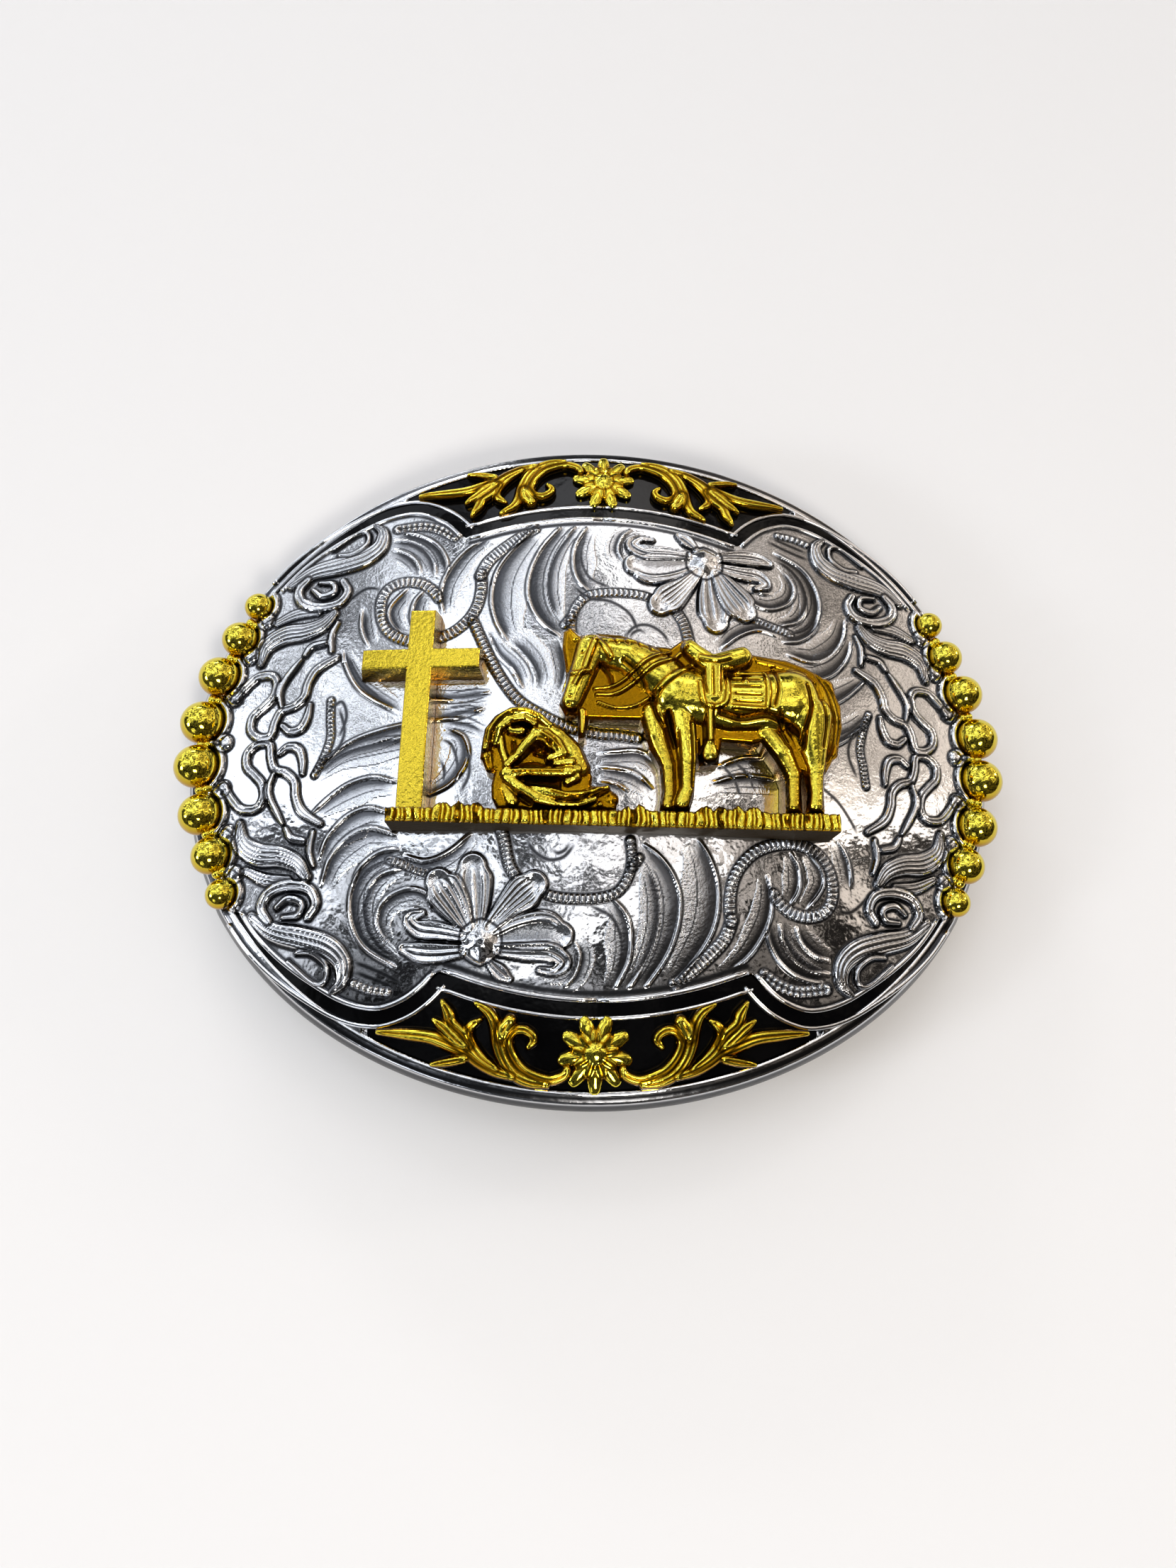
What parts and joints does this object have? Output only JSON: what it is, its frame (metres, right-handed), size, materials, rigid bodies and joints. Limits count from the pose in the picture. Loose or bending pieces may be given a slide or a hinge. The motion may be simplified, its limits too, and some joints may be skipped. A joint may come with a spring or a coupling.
{
  "type": "western belt buckle",
  "caption": "Oval bent trophy-style belt buckle with black enamel, scroll relief, rim beads and a raised figure group of cross, kneeling rider and horse, with belt loop and hook peg behind.",
  "frame": {"origin": "on the surface the buckle lies on, face up, under the middle of its box", "axes": "+X along the oval to the right of the wearer's view of the face, +Y to the top of the picture, +Z out of the face"},
  "size_m": [0.097, 0.0778, 0.0194],
  "materials": {
    "silver_plate": "bright nickel plate on cast zinc alloy, engraved",
    "gold_plate": "bright gold plate on cast zinc alloy",
    "black_enamel": "glossy black enamel",
    "back_nickel": "satin nickel plate"
  },
  "bodies": {
    "root": {"plate": "silver_plate", "top_enamel_field": "black_enamel", "bottom_enamel_field": "black_enamel", "top_enamel_line": "black_enamel", "bottom_enamel_line": "black_enamel", "top_flower": "gold_plate", "bottom_flower": "gold_plate", "top_left_scroll": "gold_plate", "top_right_scroll": "gold_plate", "bottom_left_scroll": "gold_plate", "bottom_right_scroll": "gold_plate", "cross": "gold_plate", "ground_strip": "gold_plate", "cowboy": "gold_plate", "horse": "gold_plate", "belt_loop": "back_nickel", "hook_peg": "back_nickel", "bead_left_1": "gold_plate", "bead_left_2": "gold_plate", "bead_left_3": "gold_plate", "bead_left_4": "gold_plate", "bead_left_5": "gold_plate", "bead_left_6": "gold_plate", "bead_left_7": "gold_plate", "bead_left_8": "gold_plate", "bead_right_1": "gold_plate", "bead_right_2": "gold_plate", "bead_right_3": "gold_plate", "bead_right_4": "gold_plate", "bead_right_5": "gold_plate", "bead_right_6": "gold_plate", "bead_right_7": "gold_plate", "bead_right_8": "gold_plate"}
  },
  "joints": []
}
